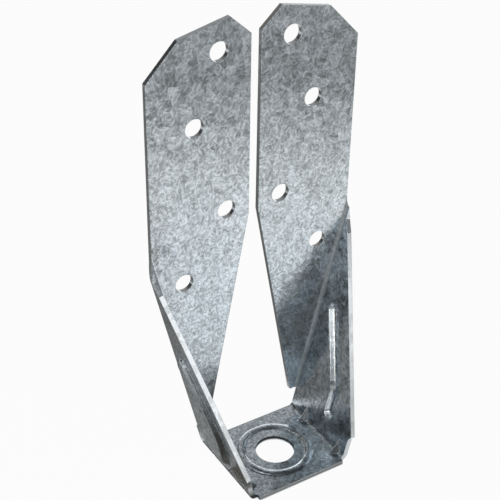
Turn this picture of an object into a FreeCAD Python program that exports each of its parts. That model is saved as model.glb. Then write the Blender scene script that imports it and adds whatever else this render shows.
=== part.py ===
import FreeCAD
import Part
import math
import os

from FreeCAD import Placement, Rotation, Vector

# Deck tension tie: one blank of galvanised sheet, punched, embossed and folded.
# The origin is on the anchor rod's axis, at the underside of the seat.
# X runs across the two screw plates, Y towards the timber and Z up along the rod.
# Sizes are in millimetres and angles in degrees.

# Sheet, the inner radius of its folds, and overall sizes
SHEET = 1.9
BEND = 1.6
WIDTH = 82.55
HEIGHT = 176.2
ROD_TO_TIMBER = 20.6

# Seat under the anchor nut, set in from the timber, with a flat tongue in front of the folds
SEAT_FRONT = 19.0
SEAT_INSET = 1.6
SEAT_MARGIN = 3.65
SEAT_TONGUE = 1.8
ANCHOR_HOLE = 15.1

# Raised bead round the anchor hole: its middle line, height and the radii of its section
BEAD_RADIUS = 13.2
BEAD_HEIGHT = 0.55
BEAD_CREST = 2.5
BEAD_FOOT = 1.4

# Side walls, which flare from the seat out to the outer edge of the plates
FOLD_TOP = 84.9
WALL_STEP = 2.8
WALL_STEP_DOWN = 4.5
WALL_CORNER = 11.4
WALL_INSET = 0.6

# Outline of each screw plate
PLATE_GAP = 4.0
PEAK_ACROSS = 7.9
PEAK_DOWN = 7.2
TOP_SLOPE = 12.2
SHOULDER_ACROSS = 11.9
SHOULDER_DOWN = 12.4
EAR_OUT = 0.9
EAR_RISE = 7.6
TAPER_TOP = 100.6
TIP_HEIGHT = 10.8
TIP_FLAT = 3.3

# Screw holes of each plate: an upper and a lower pair, each with one hole near either edge
SCREW_HOLE = 7.1
SCREW_PITCH = 25.4
UPPER_PAIR_DOWN = 11.1
LOWER_PAIR_UP = 79.4
UPPER_FROM_INNER = 12.2
UPPER_FROM_OUTER = 17.6
LOWER_FROM_INNER = 9.2
LOWER_FROM_OUTER = 12.8

# Stiffening rib pressed outwards in each wall, with heights measured up the wall
RIB_DEPTH = 2.2
RIB_GROOVE = 2.5
RIB_SETBACK = 9.5
RIB_TOP = 51.5
RIB_KINK = 23.0
RIB_FOOT = 12.6
RIB_TURN = 14.0
RIB_LIP = 1.0

# Darts pressed inwards across each fold of the seat: length on the seat, height on the wall and half width
DART_LEG = 3.8
DART_RISE = 5.6
DART_HALF = 2.7
DART_SINK = 0.5
DART_FROM_FRONT = 6.1
DART_FROM_BACK = 9.9

# Length by which cutting shapes pass what they cut, and the distance that counts as touching
CLEAR = 5.0
TOUCH = 0.01

# Bead section: two arcs on each side that meet smoothly
BEAD_SWEEP = math.acos(1 - BEAD_HEIGHT / (BEAD_CREST + BEAD_FOOT))
BEAD_REACH = (BEAD_CREST + BEAD_FOOT) * math.sin(BEAD_SWEEP)

# The outer face of a wall leaves the seat's fold and meets the plate's ear at FOLD_TOP
SEAT_BACK = ROD_TO_TIMBER - SEAT_INSET
BEND_OUTER = BEND + SHEET
SEAT_FLAT = BEAD_RADIUS + BEAD_REACH + SEAT_MARGIN
ACROSS = WIDTH / 2 + EAR_OUT - SEAT_FLAT
RISE = FOLD_TOP - BEND_OUTER
FLARE = math.atan2(ACROSS, RISE) - math.asin(BEND_OUTER / math.hypot(ACROSS, RISE))
SEAT_TURN = math.pi / 2 - FLARE
WALL_FOOT = BEND_OUTER * math.tan(SEAT_TURN / 2)
WALL_HALF = SEAT_FLAT + WALL_FOOT
WALL_FRAME = Placement(Vector(WALL_HALF, 0, 0), Rotation(Vector(0, 1, 0), math.degrees(FLARE)))

# Front edge of a wall: it leans back from the corner above the seat to a step near the fold
FOLD_START = ROD_TO_TIMBER - BEND_OUTER
FOLD_FRONT = SEAT_TONGUE - SEAT_FRONT
WALL_FRONT = WALL_INSET - SEAT_FRONT
WALL_TOP = FOLD_TOP / math.cos(FLARE)
STEP_FRONT = FOLD_START - WALL_STEP
STEP_HEIGHT = WALL_TOP - WALL_STEP_DOWN
LEAN = math.atan2(STEP_FRONT - WALL_FRONT, STEP_HEIGHT - WALL_CORNER)

# Inner face of a wall at the seat's top, as if the fold were sharp
INNER_CORNER = WALL_HALF - SHEET / math.cos(FLARE) + SHEET * math.tan(FLARE)


def line(start, end):
    return Part.LineSegment(start, end).toShape()


def arc(start, middle, end):
    return Part.Arc(start, middle, end).toShape()


def face_of(points):
    return Part.Face(Part.makePolygon(points + [points[0]]))


def both_sides(shape):
    return [shape, shape.mirror(Vector(0, 0, 0), Vector(1, 0, 0))]


# Seat with a fold at each side: one section drawn out along Y, and the flat tongue in front
def seat():
    centre = Vector(SEAT_FLAT, FOLD_FRONT, BEND_OUTER)

    def fold(radius, side):
        points = []
        for turn in (0, SEAT_TURN / 2, SEAT_TURN):
            point = centre + Vector(radius * math.sin(turn), 0, -radius * math.cos(turn))
            points.append(Vector(side * point.x, point.y, point.z))
        return points

    right_outer = fold(BEND_OUTER, 1)
    right_inner = fold(BEND, 1)
    left_outer = fold(BEND_OUTER, -1)
    left_inner = fold(BEND, -1)
    section = Part.Wire([
        line(left_outer[0], right_outer[0]),
        arc(*right_outer),
        line(right_outer[2], right_inner[2]),
        arc(*reversed(right_inner)),
        line(right_inner[0], left_inner[0]),
        arc(*left_inner),
        line(left_inner[2], left_outer[2]),
        arc(*reversed(left_outer)),
    ])
    folded = Part.Face(section).extrude(Vector(0, SEAT_BACK - FOLD_FRONT, 0))
    tongue = Part.makeBox(2 * SEAT_FLAT, SEAT_TONGUE, SHEET, Vector(-SEAT_FLAT, -SEAT_FRONT, 0))
    return folded.fuse(tongue)


# One flank of the bead's section, from the flat seat up to the crest
def bead_flank(side):
    crest = Vector(BEAD_RADIUS, 0, SHEET + BEAD_HEIGHT - BEAD_CREST)
    foot = Vector(BEAD_RADIUS + side * BEAD_REACH, 0, SHEET + BEAD_FOOT)

    def spoke(angle):
        return Vector(side * math.sin(angle), 0, math.cos(angle))

    low = [foot - spoke(angle) * BEAD_FOOT for angle in (0, BEAD_SWEEP / 2, BEAD_SWEEP)]
    high = [crest + spoke(angle) * BEAD_CREST for angle in (BEAD_SWEEP, BEAD_SWEEP / 2, 0)]
    return [arc(*low), arc(*high)]


# Seat with its bead, which is a round groove below
def beaded_seat():
    outer = Vector(BEAD_RADIUS + BEAD_REACH, 0, 0)
    inner = Vector(BEAD_RADIUS - BEAD_REACH, 0, 0)
    up = Vector(0, 0, SHEET)
    edges = bead_flank(1) + bead_flank(-1)
    edges += [line(outer, outer + up), line(inner, inner + up)]
    edges.append(arc(outer, Vector(BEAD_RADIUS, 0, BEAD_HEIGHT), inner))
    section = Part.Face(Part.Wire(Part.__sortEdges__(edges)))
    ring = section.revolve(Vector(0, 0, 0), Vector(0, 0, 1), 360)
    flat = Part.makeCylinder(outer.x, SHEET).cut(Part.makeCylinder(inner.x, SHEET))
    return seat().cut(flat).fuse(ring)


# Middle line of the rib: along the wall's front edge, then straight down towards the seat
def rib_path(depth):
    def beside_edge(height):
        front = WALL_FRONT + (height - WALL_CORNER) * math.tan(LEAN)
        return Vector(depth, front + RIB_SETBACK / math.cos(LEAN), height)

    top = beside_edge(RIB_TOP)
    kink = beside_edge(RIB_KINK)
    foot = Vector(depth, kink.y, RIB_FOOT)
    upwards = Vector(0, math.sin(LEAN), math.cos(LEAN))
    downwards = Vector(0, 0, -1)
    tangent = RIB_TURN * math.tan(LEAN / 2)
    bow = RIB_TURN / math.cos(LEAN / 2) - RIB_TURN
    enter = kink + upwards * tangent
    leave = kink + downwards * tangent
    middle = kink + (upwards + downwards).normalize() * bow
    return Part.Wire([line(top, enter), arc(enter, middle, leave), line(leave, foot)])


# Round bar along the rib's middle line, with a ball at each end
def rib_bar(radius):
    path = rib_path(RIB_DEPTH - RIB_GROOVE - SHEET)
    start = path.Vertexes[0].Point
    end = path.Vertexes[-1].Point
    circle = Part.Wire(Part.makeCircle(radius, start, path.Edges[0].tangentAt(0)))
    bar = path.makePipeShell([circle], True, False)
    return bar.fuse([Part.makeSphere(radius, start), Part.makeSphere(radius, end)])


# The part of the rib's outer skin that stands on the outside of the wall
def rib_ridge():
    outside = Part.makeBox(RIB_DEPTH + SHEET, 2 * HEIGHT, 2 * HEIGHT, Vector(-SHEET / 2, -HEIGHT, -HEIGHT))
    return rib_bar(RIB_GROOVE + SHEET).common(outside)


# Edges where the rib leaves the two faces of the flat wall
def rib_edges(panel, outline):
    def on_outline(vertex):
        return any(math.hypot(vertex.Y - corner.y, vertex.Z - corner.z) < TOUCH for corner in outline)

    def in_plane(edge, depth):
        box = edge.BoundBox
        return abs(box.XMin - depth) < TOUCH and abs(box.XMax - depth) < TOUCH

    flat = [edge for edge in panel.Edges if in_plane(edge, 0) or in_plane(edge, -SHEET)]
    return [edge for edge in flat if not any(on_outline(vertex) for vertex in edge.Vertexes)]


# Wall with its rib, drawn upright with its outer face at X = 0 and then tilted into place
def wall():
    tip = TIP_HEIGHT / math.cos(FLARE)
    outline = [
        Vector(0, FOLD_FRONT, WALL_FOOT),
        Vector(0, SEAT_BACK, WALL_FOOT),
        Vector(0, SEAT_BACK, tip),
        Vector(0, FOLD_START, tip),
        Vector(0, FOLD_START, WALL_TOP),
        Vector(0, STEP_FRONT, STEP_HEIGHT),
        Vector(0, WALL_FRONT, WALL_CORNER),
        Vector(0, FOLD_FRONT, WALL_CORNER - SEAT_TONGUE),
    ]
    panel = face_of(outline).extrude(Vector(-SHEET, 0, 0))
    panel = panel.fuse(rib_ridge()).cut(rib_bar(RIB_GROOVE)).removeSplitter()
    panel = panel.makeFillet(RIB_LIP, rib_edges(panel, outline))
    panel.Placement = WALL_FRAME
    return panel


# Long strip of the plate with its fold, along the slope of the wall
def plate_strip():
    centre = Vector(-BEND_OUTER, FOLD_START, -HEIGHT)

    def fold(radius):
        quarter = (0, math.pi / 4, math.pi / 2)
        return [centre + Vector(radius * math.cos(turn), radius * math.sin(turn), 0) for turn in quarter]

    outer = fold(BEND_OUTER)
    inner = fold(BEND)
    inwards = Vector(-WIDTH, 0, 0)
    section = Part.Wire([
        arc(*outer),
        line(outer[2], outer[2] + inwards),
        line(outer[2] + inwards, inner[2] + inwards),
        line(inner[2] + inwards, inner[2]),
        arc(*reversed(inner)),
        line(inner[0], outer[0]),
    ])
    strip = Part.Face(section).extrude(Vector(0, 0, 3 * HEIGHT))
    strip.Placement = WALL_FRAME
    return strip


# Outline of the plate seen from the front, as (across, height)
def plate_outline():
    inner = PLATE_GAP / 2
    outer = WIDTH / 2
    peak = inner + PEAK_ACROSS
    shoulder = outer - SHOULDER_ACROSS
    shoulder_height = HEIGHT - (shoulder - peak) * math.tan(math.radians(TOP_SLOPE))
    tip = INNER_CORNER + (TIP_HEIGHT - SHEET) * math.tan(FLARE) - TIP_FLAT
    return [
        (inner, TAPER_TOP),
        (inner, HEIGHT - PEAK_DOWN),
        (peak, HEIGHT),
        (shoulder, shoulder_height),
        (outer, shoulder_height - SHOULDER_DOWN),
        (outer, FOLD_TOP + EAR_RISE),
        (outer + EAR_OUT, FOLD_TOP),
        (outer + EAR_OUT, TIP_HEIGHT),
        (tip, TIP_HEIGHT),
    ]


# Centres of the plate's screw holes, as (across, height)
def screw_centres():
    inner = PLATE_GAP / 2
    outer = WIDTH / 2
    upper = HEIGHT - UPPER_PAIR_DOWN
    return [
        (inner + UPPER_FROM_INNER, upper),
        (outer - UPPER_FROM_OUTER, upper - SCREW_PITCH),
        (inner + LOWER_FROM_INNER, LOWER_PAIR_UP + SCREW_PITCH),
        (outer - LOWER_FROM_OUTER, LOWER_PAIR_UP),
    ]


# Screw plate: the strip cut to its outline and punched
def screw_plate():
    front = FOLD_START - CLEAR
    through = Vector(0, BEND_OUTER + 2 * CLEAR, 0)
    outline = face_of([Vector(across, front, height) for across, height in plate_outline()])
    plate = plate_strip().common(outline.extrude(through))
    for across, height in screw_centres():
        start = Vector(across, front, height)
        plate = plate.cut(Part.makeCylinder(SCREW_HOLE / 2, through.y, start, through))
    return plate


# Solid between four points
def pyramid(first, second, third, fourth):
    sides = [[first, second, third], [first, fourth, second], [second, fourth, third], [third, fourth, first]]
    solid = Part.Solid(Part.Shell([face_of(side) for side in sides]))
    if solid.Volume < 0:
        solid.reverse()
    return solid


# Dart at one place along Y: the ridge across the inside of the fold, and the hollow behind it
def dart(place):
    corner = Vector(INNER_CORNER, place, SHEET)
    low = Vector(-DART_LEG, 0, 0)
    high = Vector(math.sin(FLARE), 0, math.cos(FLARE)) * DART_RISE
    along = (high - low).normalize()
    nearest = low - along * low.dot(along)
    inwards = nearest / nearest.Length
    half = Vector(0, DART_HALF, 0)
    root = corner - inwards * DART_SINK
    ridge = pyramid(corner + low, corner + high, root - half, root + half)
    slope = math.atan2(DART_HALF, nearest.Length + DART_SINK)
    hollow = ridge.translated(inwards * (-SHEET / math.sin(slope)))
    return ridge, hollow


# The whole tie, as one solid
def tension_tie():
    sheet = beaded_seat()
    sheet = sheet.fuse(both_sides(wall()) + both_sides(screw_plate()))
    for place in (DART_FROM_FRONT - SEAT_FRONT, SEAT_BACK - DART_FROM_BACK):
        ridge, hollow = dart(place)
        sheet = sheet.fuse(both_sides(ridge)).cut(both_sides(hollow))
    anchor = Part.makeCylinder(ANCHOR_HOLE / 2, SHEET + 2 * CLEAR, Vector(0, 0, -CLEAR))
    return sheet.cut(anchor).removeSplitter().Solids[0]


os.makedirs("parts", exist_ok=True)
tension_tie().exportStep("parts/tension_tie.step")
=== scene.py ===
import bpy
import math
from mathutils import Matrix, Vector


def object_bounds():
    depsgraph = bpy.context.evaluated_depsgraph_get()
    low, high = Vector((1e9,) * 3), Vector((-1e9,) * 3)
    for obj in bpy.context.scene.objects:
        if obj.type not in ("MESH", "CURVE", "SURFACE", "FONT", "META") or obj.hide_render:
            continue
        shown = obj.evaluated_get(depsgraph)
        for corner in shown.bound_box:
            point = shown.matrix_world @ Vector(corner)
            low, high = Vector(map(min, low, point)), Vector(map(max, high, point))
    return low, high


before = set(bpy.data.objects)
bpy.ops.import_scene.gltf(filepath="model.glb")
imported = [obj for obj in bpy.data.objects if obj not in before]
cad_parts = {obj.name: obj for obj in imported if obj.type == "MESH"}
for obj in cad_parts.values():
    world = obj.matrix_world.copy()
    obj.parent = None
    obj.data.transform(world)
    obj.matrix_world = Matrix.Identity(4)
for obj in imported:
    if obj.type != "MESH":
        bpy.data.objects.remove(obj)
cad_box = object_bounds()

# Camera: it looks at AIM from AZIMUTH and ELEVATION, in metres and degrees
AIM = Vector((-0.00506, 0.01261, 0.08923))
AZIMUTH = -32.40
ELEVATION = 33.40
ROLL = 0.99
DISTANCE = 0.43414
LENS = 88.02
SENSOR = 36.0
CLIP_START = 0.01

# Floor: FLOOR_WHITE is how much of it the camera and reflections see as plain white
WHITE = (1, 1, 1, 1)
FLOOR_HEIGHT = cad_box[0][2]
FLOOR_RADIUS = 4.0
FLOOR_SIDES = 96
FLOOR_COLOUR = (0.86, 0.86, 0.86, 1)
FLOOR_WHITE = 0.95

# Painted shade and painted reflection: glowing grey cards on the floor that only reflections see, standing
# in for shadowed and dimmer floor; tint, axis of the grade, its span, its levels, corners
CARD_LIFT = 0.0005
# WARM tints the painted reflection of light bounced off the zinc, GREY tints the other painted shade
WARM = (1.0, 0.91, 0.79, 1)
GREY = (1.0, 0.975, 0.94, 1)
REFLECTED_SHADE_CARDS = {
    "card_left": (WARM, (0.8, -0.6, 0.0), (-0.010, 0.016), (0.05, 0.40), (
        (-0.205, -0.255), (0.055, -0.255), (0.030, -0.13), (0.010, -0.085), (0.003, -0.065),
        (-0.034, -0.065), (-0.034, 0.0), (-0.09, 0.0), (-0.09, -0.035), (-0.205, -0.035),
    )),
    "card_near": (WARM, (0.8, -0.6, 0.0), (0.0, 0.01), (0.11, 0.11), (
        (-0.034, -0.065), (0.003, -0.065), (-0.002, -0.045), (-0.005, -0.0225), (-0.023, -0.0225),
        (-0.023, 0.0), (-0.034, 0.0),
    )),
    "card_side": (GREY, (-1.0, 0.0, 0.0), (0.09, 0.14), (0.35, 0.60), (
        (-0.205, -0.035), (-0.09, -0.035), (-0.09, 0.025), (-0.205, 0.025),
    )),
    "card_back": (GREY, (-0.8, -0.6, 0.0), (-0.014, 0.012), (0.18, 0.29), (
        (-0.30, 0.025), (-0.09, 0.025), (-0.09, 0.0), (-0.023, 0.0), (-0.023, 0.024), (0.016, 0.024),
        (0.016, 0.40), (-0.30, 0.40),
    )),
    "card_front": (GREY, (0.535, -0.844, 0.0), (0.182, 0.268), (0.98, 0.355), (
        (0.034, -0.132), (0.205, 0.0), (0.90, -0.60), (0.20, -1.20), (0.10, -0.60), (0.055, -0.255),
    )),
    # card_under: a painted contact shadow under the seat's front edge, seen only in reflections
    "card_under": (GREY, (0.0, -1.0, 0.0), (0.0185, 0.0205), (0.05, 0.60), (
        (-0.0228, -0.0215), (0.024, -0.0215), (0.020, -0.018), (0.020, 0.0195), (-0.0228, 0.0195),
    )),
}

# Soft boxes: place, width, height, power and colour
NEUTRAL = (1.0, 1.0, 1.0)
MELLOW = (1.0, 0.90, 0.79)
LAMPS = {
    "front": ((0.45, -1.00, 0.185), 0.8, 0.33, 1.5, NEUTRAL),
    "left": ((-0.88, -0.60, 0.414), 0.28, 0.20, 0.75, MELLOW),
    "rib": ((-0.48, -0.92, 0.494), 0.84, 0.13, 1.05, NEUTRAL),
    "fill": ((0.50, -0.80, 0.68), 0.8, 0.50, 0.45, MELLOW),
    "front_top": ((-0.15, -0.85, 0.90), 0.6, 0.5, 0.8, MELLOW),
    "back": ((0.45, 0.95, 0.78), 0.9, 0.8, 0.90, NEUTRAL),
    "back_left": ((-0.25, 0.95, 0.98), 0.5, 0.6, 0.2, MELLOW),
    "low_back": ((0.55, 1.05, 0.17), 1.6, 0.30, 2.2, NEUTRAL),
    "top": ((-0.90, 0.00, 1.00), 1.6, 1.6, 9.4, NEUTRAL),
}
LAMP_AIM = Vector((0, 0, 0.06))
WORLD_LEVEL = 0.05

# Galvanised sheet: its darkest and palest zinc, and the bare sheared edges
PALE = (0.815, 0.905, 0.98, 1)
DARK = (0.300, 0.337, 0.360, 1)
SHEARED = (0.53, 0.56, 0.58, 1)

# Crystal grains and the needles inside them: sizes in metres, scales per metre
GRAIN = 0.0030
WARP_SCALE = 600.0
WARP_DEPTH = 0.0016
NEEDLE_LENGTH = 0.0046
NEEDLE_SLIMNESS = 5.2
NEEDLE_DETAIL = 1.0
NEEDLE_ROUGHNESS = 0.4
NEEDLE_RANGE = (0.38, 0.70)
FULL_TURN = 6.283

# Veins along the grains' borders, speckle and cloud: scales per metre
VEIN_WIDTH = 0.07
VEIN_BREAK_SCALE = 420.0
VEIN_BREAK_RANGE = (0.45, 0.60)
SPECKLE_SCALE = 480.0
SPECKLE_DETAIL = 1.0
CLOUD_SCALE = 110.0
CLOUD_DETAIL = 3.0

# What each layer adds to the tone, and the tones at which the zinc is darkest and palest
GRAIN_WEIGHT = 0.14
STREAK_WEIGHT = 0.36
VEIN_WEIGHT = 0.20
SPECKLE_WEIGHT = 0.40
CLOUD_WEIGHT = 0.25
TONE_RANGE = (0.29, 0.81)

# Finish: gloss of the grains, rougher folds with painted shade darkening them, even pressed surfaces, relief
# and softened edges
GRAIN_ROUGHNESS = (0.17, 0.28)
FOLD_ROUGHNESS = 0.45
FOLD_PAINTED_SHADE = 0.62
FORMED_LEVEL = 0.6
GRAIN_TILT = 0.045
BUMP_STRENGTH = 0.15
BUMP_DEPTH = 0.0002
EDGE_ROUND = 0.00025
EDGE_SAMPLES = 4

# Zones of the sheet: limits along Y in metres, and limits on how far a surface faces along Y
WALL_END = 0.0160
PLATE_FRONT = 0.0188
FOLD_FRONT = 0.0145
WALL_EDGE_FACING = 0.87
PLATE_EDGE_FACING = 0.5
TURNING_FACING = (0.05, 0.99)
FORMED_FACING = 0.40


class Nodes:
    """Small helper that adds and links shader nodes."""

    def __init__(self, tree):
        self.tree = tree
        tree.nodes.clear()

    def add(self, kind, **settings):
        node = self.tree.nodes.new(kind)
        for name, value in settings.items():
            setattr(node, name, value)
        return node

    def link(self, start, end):
        self.tree.links.new(start, end)

    def fill(self, sockets, values, constants):
        """Set the sockets whose values are constants, and link the others."""
        for socket, value in zip(sockets, values):
            if isinstance(value, constants):
                socket.default_value = value
            else:
                self.link(value, socket)

    def math(self, operation, *values, clamp=False):
        node = self.add("ShaderNodeMath", operation=operation, use_clamp=clamp)
        self.fill(node.inputs, values, (int, float))
        return node.outputs[0]

    def vector(self, operation, *values):
        node = self.add("ShaderNodeVectorMath", operation=operation)
        self.fill(node.inputs, values, tuple)
        return node.outputs[0]

    def scaled(self, vector, factor):
        node = self.add("ShaderNodeVectorMath", operation="SCALE")
        self.link(vector, node.inputs[0])
        self.link(factor, node.inputs["Scale"])
        return node.outputs[0]

    def noise(self, coords, scale, detail=2.0, rough=0.5):
        node = self.add("ShaderNodeTexNoise")
        node.inputs["Scale"].default_value = scale
        node.inputs["Detail"].default_value = detail
        node.inputs["Roughness"].default_value = rough
        self.link(coords, node.inputs["Vector"])
        return node

    def remap(self, value, low, high, to_low=0.0, to_high=1.0):
        node = self.add("ShaderNodeMapRange")
        self.link(value, node.inputs["Value"])
        limits = {"From Min": low, "From Max": high, "To Min": to_low, "To Max": to_high}
        for name, number in limits.items():
            node.inputs[name].default_value = number
        return node.outputs["Result"]

    def mix(self, factor, first, second):
        node = self.add("ShaderNodeMix", data_type="RGBA")
        self.link(factor, node.inputs["Factor"])
        colours = [s for s in node.inputs if s.type == "RGBA"]
        self.fill(colours, (first, second), tuple)
        return [s for s in node.outputs if s.type == "RGBA"][0]


def alike(number):
    """The same number along all three axes."""
    return (number, number, number)


def new_material(name):
    """A material, the helper for its empty node tree, and its surface socket."""
    material = bpy.data.materials.new(name)
    material.use_nodes = True
    n = Nodes(material.node_tree)
    return material, n, n.add("ShaderNodeOutputMaterial").inputs["Surface"]


def grains(n, coords, size):
    """Crystal grains: a random colour for each grain, and how near its border is."""
    cells = n.add("ShaderNodeTexVoronoi", voronoi_dimensions="3D", feature="F1")
    border = n.add("ShaderNodeTexVoronoi", voronoi_dimensions="3D", feature="DISTANCE_TO_EDGE")
    for node in (cells, border):
        node.inputs["Scale"].default_value = 1 / size
        n.link(coords, node.inputs["Vector"])
    return cells.outputs["Color"], border.outputs["Distance"]


def needles(n, coords, colour):
    """Streaks that run along each grain's own direction."""
    turn = n.add("ShaderNodeVectorRotate", rotation_type="EULER_XYZ")
    n.link(coords, turn.inputs["Vector"])
    n.link(n.vector("MULTIPLY", colour, alike(FULL_TURN)), turn.inputs["Rotation"])
    stretched = n.vector("MULTIPLY", turn.outputs[0], (1.0, NEEDLE_SLIMNESS, NEEDLE_SLIMNESS))
    streaks = n.noise(stretched, 1 / NEEDLE_LENGTH, NEEDLE_DETAIL, NEEDLE_ROUGHNESS)
    return n.remap(streaks.outputs["Fac"], *NEEDLE_RANGE)


def veins(n, coords, border):
    """Thin lines along the grains' borders, broken up by noise."""
    line = n.remap(border, 0.0, VEIN_WIDTH, 1.0, 0.0)
    broken = n.remap(n.noise(coords, VEIN_BREAK_SCALE).outputs["Fac"], *VEIN_BREAK_RANGE)
    return n.math("MULTIPLY", line, broken)


def zinc(n, coords):
    """The zinc's layers: each grain's random colour, its first part, and the tone of all layers together."""
    warp = n.vector("MULTIPLY", n.noise(coords, WARP_SCALE).outputs["Color"], alike(WARP_DEPTH))
    bent = n.vector("ADD", coords, warp)
    colour, border = grains(n, bent, GRAIN)
    split = n.add("ShaderNodeSeparateColor")
    n.link(colour, split.inputs[0])
    grain = split.outputs[0]
    layers = (
        (needles(n, bent, colour), STREAK_WEIGHT),
        (veins(n, coords, border), VEIN_WEIGHT),
        (n.noise(coords, SPECKLE_SCALE, SPECKLE_DETAIL).outputs["Fac"], SPECKLE_WEIGHT),
        (n.noise(coords, CLOUD_SCALE, CLOUD_DETAIL).outputs["Fac"], CLOUD_WEIGHT),
    )
    tone = n.math("MULTIPLY", grain, GRAIN_WEIGHT)
    for layer, weight in layers:
        tone = n.math("ADD", tone, n.math("MULTIPLY", layer, weight))
    return colour, grain, tone


def zones(n, coords):
    """1 on the cut edges, on the folds between walls and plates, and on the steep pressed surfaces."""
    facing = n.add("ShaderNodeSeparateXYZ")
    n.link(n.add("ShaderNodeNewGeometry").outputs["True Normal"], facing.inputs[0])
    along = n.math("ABSOLUTE", facing.outputs["Y"])
    place = n.add("ShaderNodeSeparateXYZ")
    n.link(coords, place.inputs[0])
    depth = place.outputs["Y"]

    def above(value, limit):
        return n.math("GREATER_THAN", value, limit)

    def below(value, limit):
        return n.math("LESS_THAN", value, limit)

    wall_edge = n.math("MULTIPLY", below(depth, WALL_END), above(along, WALL_EDGE_FACING))
    plate_edge = n.math("MULTIPLY", above(depth, PLATE_FRONT), below(along, PLATE_EDGE_FACING))
    turning = n.math("MULTIPLY", above(along, TURNING_FACING[0]), below(along, TURNING_FACING[1]))
    fold = n.math("MULTIPLY", turning, above(depth, FOLD_FRONT))
    steep = n.math("MULTIPLY", turning, above(along, FORMED_FACING))
    formed = n.math("SUBTRACT", steep, fold, clamp=True)
    return n.math("MAXIMUM", wall_edge, plate_edge), fold, formed


def relief(n, colour, tone, flat):
    """The normal: softened edges, a small tilt for each grain, and a fine bump."""
    rounded = n.add("ShaderNodeBevel", samples=EDGE_SAMPLES)
    rounded.inputs["Radius"].default_value = EDGE_ROUND
    tilt = n.vector("MULTIPLY", n.vector("SUBTRACT", colour, alike(0.5)), alike(GRAIN_TILT))
    bump = n.add("ShaderNodeBump")
    n.link(n.math("MULTIPLY", flat, BUMP_STRENGTH), bump.inputs["Strength"])
    bump.inputs["Distance"].default_value = BUMP_DEPTH
    n.link(tone, bump.inputs["Height"])
    n.link(n.vector("ADD", rounded.outputs[0], n.scaled(tilt, flat)), bump.inputs["Normal"])
    return bump.outputs[0]


def galvanised():
    material, n, surface = new_material("galvanised_sheet")
    shader = n.add("ShaderNodeBsdfPrincipled")
    n.link(shader.outputs[0], surface)
    shader.inputs["Metallic"].default_value = 1.0
    coords = n.add("ShaderNodeTexCoord").outputs["Object"]
    colour, grain, tone = zinc(n, coords)
    edge, fold, formed = zones(n, coords)
    flat = n.math("SUBTRACT", 1.0, n.math("MAXIMUM", edge, formed))
    level = n.math("MAXIMUM", n.remap(tone, *TONE_RANGE), n.math("MULTIPLY", formed, FORMED_LEVEL))
    # Painted shade: the zinc's base colour is made darker along the folds between walls and plates
    fold_shade_left = n.math("SUBTRACT", 1.0, n.math("MULTIPLY", fold, FOLD_PAINTED_SHADE))
    level = n.math("MULTIPLY", level, fold_shade_left)
    n.link(n.mix(edge, n.mix(level, DARK, PALE), SHEARED), shader.inputs["Base Color"])
    gloss = n.remap(grain, 0.0, 1.0, *GRAIN_ROUGHNESS)
    dull = n.math("MULTIPLY", fold, FOLD_ROUGHNESS)
    n.link(n.math("MAXIMUM", gloss, dull), shader.inputs["Roughness"])
    n.link(relief(n, colour, tone, flat), shader.inputs["Normal"])
    return material


def graded(name, tint, axis, span, levels):
    """A card's painted shade, a grey glow which changes along an axis, or stays even where both levels are
    the same.
    """
    material, n, surface = new_material(name)
    shader = n.add("ShaderNodeEmission")
    shader.inputs["Color"].default_value = tint
    n.link(shader.outputs[0], surface)
    if levels[0] == levels[1]:
        shader.inputs["Strength"].default_value = levels[0]
        return material
    reach = n.add("ShaderNodeVectorMath", operation="DOT_PRODUCT")
    n.link(n.add("ShaderNodeTexCoord").outputs["Object"], reach.inputs[0])
    reach.inputs[1].default_value = axis
    n.link(n.remap(reach.outputs["Value"], *span, *levels), shader.inputs["Strength"])
    return material


def white_floor():
    """Matt floor that takes shadows, mostly plain white to the camera and to reflections."""
    material, n, surface = new_material("floor")
    matt = n.add("ShaderNodeBsdfDiffuse")
    matt.inputs["Color"].default_value = FLOOR_COLOUR
    white = n.add("ShaderNodeEmission")
    white.inputs["Color"].default_value = WHITE
    white.inputs["Strength"].default_value = 1.0
    rays = n.add("ShaderNodeLightPath").outputs
    seen = n.math("MAXIMUM", rays["Is Camera Ray"], rays["Is Glossy Ray"])
    seen = n.math("MAXIMUM", seen, rays["Is Transmission Ray"])
    mix = n.add("ShaderNodeMixShader")
    n.link(n.math("MULTIPLY", seen, FLOOR_WHITE), mix.inputs[0])
    n.link(matt.outputs[0], mix.inputs[1])
    n.link(white.outputs[0], mix.inputs[2])
    n.link(mix.outputs[0], surface)
    return material


def make_floor():
    bpy.ops.mesh.primitive_circle_add(
        vertices=FLOOR_SIDES, radius=FLOOR_RADIUS, fill_type="NGON", location=(0, 0, FLOOR_HEIGHT))
    floor = bpy.context.object
    floor.name = "floor"
    floor.data.materials.append(white_floor())


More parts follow.
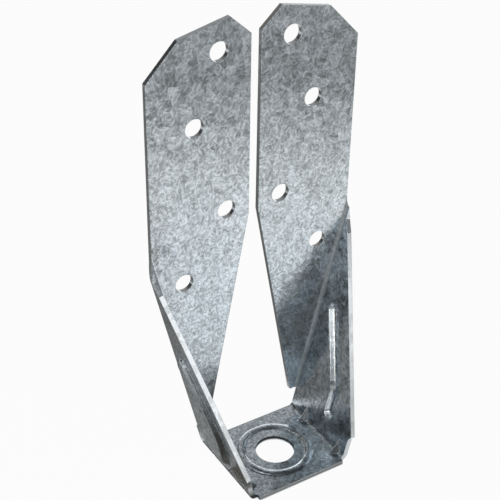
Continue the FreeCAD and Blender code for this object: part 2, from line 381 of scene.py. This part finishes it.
def make_card(name, tint, axis, span, levels, corners):
    mesh = bpy.data.meshes.new(name)
    height = FLOOR_HEIGHT + CARD_LIFT
    mesh.from_pydata([(x, y, height) for x, y in corners], [], [list(range(len(corners)))])
    card = bpy.data.objects.new(name, mesh)
    card.data.materials.append(graded(name, tint, axis, span, levels))
    card.visible_camera = False
    card.visible_diffuse = False
    card.visible_shadow = False
    bpy.context.collection.objects.link(card)


def make_camera():
    azimuth, elevation, roll = (math.radians(angle) for angle in (AZIMUTH, ELEVATION, ROLL))
    back = Vector((
        math.sin(azimuth) * math.cos(elevation),
        -math.cos(azimuth) * math.cos(elevation),
        math.sin(elevation),
    ))
    right = (-back).cross(Vector((0, 0, 1))).normalized()
    up = right.cross(-back)
    turned_right = right * math.cos(roll) + up * math.sin(roll)
    turned_up = up * math.cos(roll) - right * math.sin(roll)
    data = bpy.data.cameras.new("camera")
    data.lens = LENS
    data.sensor_width = SENSOR
    data.clip_start = CLIP_START
    camera = bpy.data.objects.new("camera", data)
    turn = Matrix((turned_right, turned_up, back)).transposed().to_4x4()
    camera.matrix_world = Matrix.Translation(AIM + back * DISTANCE) @ turn
    bpy.context.collection.objects.link(camera)
    bpy.context.scene.camera = camera


def make_lamp(name, place, width, height, power, colour):
    data = bpy.data.lights.new(name, "AREA")
    data.shape = "RECTANGLE"
    data.size = width
    data.size_y = height
    data.energy = power
    data.color = colour
    lamp = bpy.data.objects.new(name, data)
    lamp.location = place
    lamp.visible_camera = False
    lamp.rotation_euler = (LAMP_AIM - Vector(place)).to_track_quat("-Z", "Y").to_euler()
    bpy.context.collection.objects.link(lamp)


def make_world():
    world = bpy.data.worlds.new("studio")
    world.use_nodes = True
    n = Nodes(world.node_tree)
    out = n.add("ShaderNodeOutputWorld")
    sky = n.add("ShaderNodeBackground")
    sky.inputs["Color"].default_value = WHITE
    sky.inputs["Strength"].default_value = WORLD_LEVEL
    n.link(sky.outputs[0], out.inputs["Surface"])
    bpy.context.scene.world = world


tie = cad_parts["tension_tie"]
tie.data.materials.clear()
tie.data.materials.append(galvanised())

make_floor()
for name, card in REFLECTED_SHADE_CARDS.items():
    make_card(name, *card)
make_camera()
for name, lamp in LAMPS.items():
    make_lamp(name, *lamp)
make_world()
bpy.context.scene.view_settings.view_transform = "Standard"
